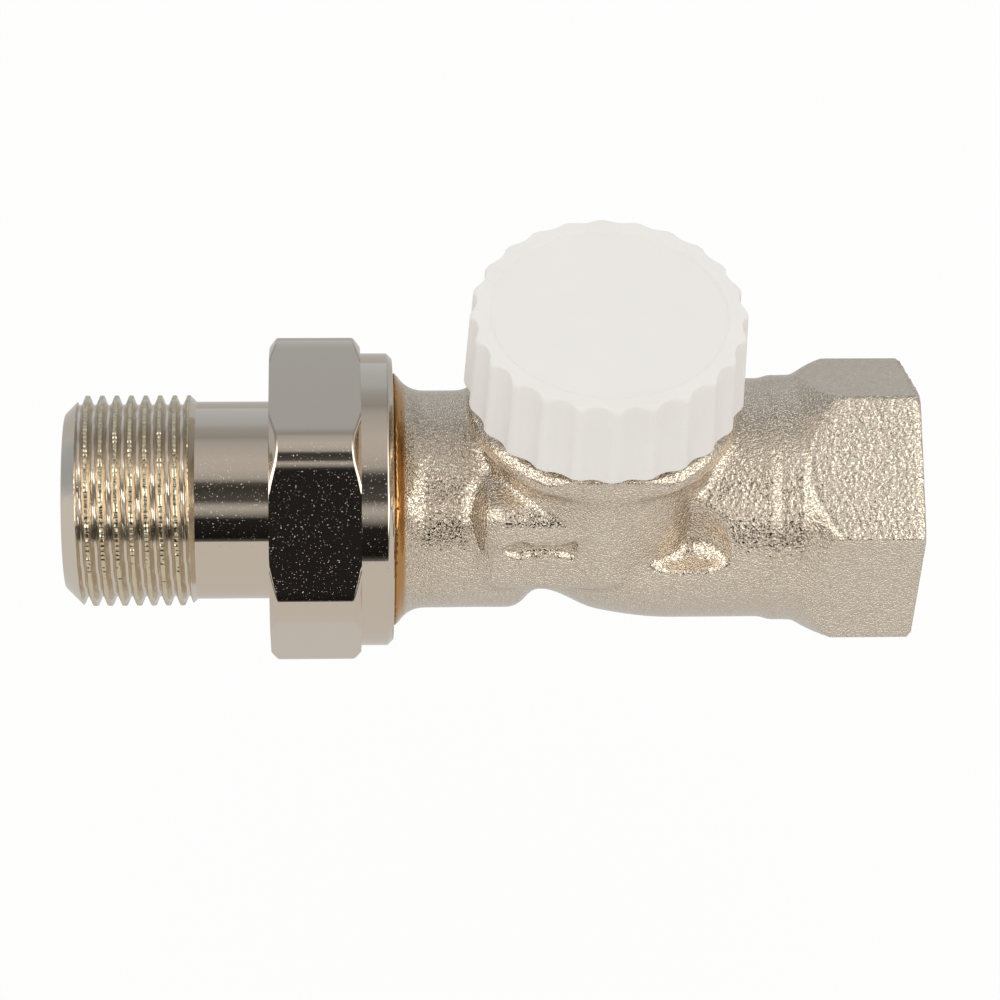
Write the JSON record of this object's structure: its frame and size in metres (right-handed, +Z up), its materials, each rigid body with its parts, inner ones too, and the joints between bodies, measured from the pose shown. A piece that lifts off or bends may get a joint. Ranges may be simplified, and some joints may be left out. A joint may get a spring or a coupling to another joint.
{
  "type": "straight radiator valve",
  "caption": "Straight radiator valve with a threaded pipe socket, a union tail with nut, and a fluted plastic cap that screws down on the push pin to close it.",
  "frame": {"origin": "centre of the pipe socket's mouth", "axes": "+X out of the pipe socket along the pipe, +Z up along the spindle towards the cap"},
  "size_m": [0.106, 0.041, 0.0518],
  "materials": {
    "forged_nickel": "shot-blasted forging, nickel plated, satin and grainy",
    "turned_nickel": "turned and nickel plated, bright",
    "white_plastic": "moulded, smooth, slightly translucent",
    "plain_brass": "turned, bare",
    "stainless": "drawn and turned",
    "black_rubber": "moulded, dull"
  },
  "bodies": {
    "valve_body": {"valve_body": "forged_nickel", "insert_housing": "plain_brass", "insert_o_ring": "black_rubber", "gland_nut": "plain_brass", "gland_outer_o_ring": "black_rubber", "pin_o_rings": "black_rubber", "gland_retainer": "plain_brass", "return_spring": "stainless"},
    "spindle": {"spindle": "stainless", "push_pin": "stainless", "circlip": "stainless", "spring_plate": "stainless", "disc_holder": "plain_brass", "seal_disc": "black_rubber", "clamp_washer": "plain_brass", "disc_nut": "plain_brass"},
    "cap": {"protective_cap": "white_plastic"},
    "tail": {"tail_piece": "turned_nickel"},
    "nut": {"union_nut": "turned_nickel"}
  },
  "joints": [
    {"name": "spindle_slide", "type": "slide", "parent": "valve_body", "child": "spindle", "axis": [0, 0, 1], "range_m": [0, 0.00351], "deforming": ["return_spring"]},
    {"name": "cap_turn", "type": "hinge", "parent": "spindle", "child": "cap", "pos_m": [-0.0393, 0, 0], "axis": [0, 0, 1], "range_deg": [0, 840]},
    {"name": "tail_slide", "type": "slide", "parent": "valve_body", "child": "tail", "axis": [-1, 0, 0], "range_m": [0, 0.00925]},
    {"name": "nut_turn", "type": "hinge", "parent": "tail", "child": "nut", "pos_m": [0, 0, 0], "axis": [-1, 0, 0], "range_deg": [0, 1440]}
  ],
  "couplings": [
    {"joint": "spindle_slide", "follows": "cap_turn", "m_per_rad": 0.00023873},
    {"joint": "tail_slide", "follows": "nut_turn", "m_per_rad": 0.00036749}
  ]
}
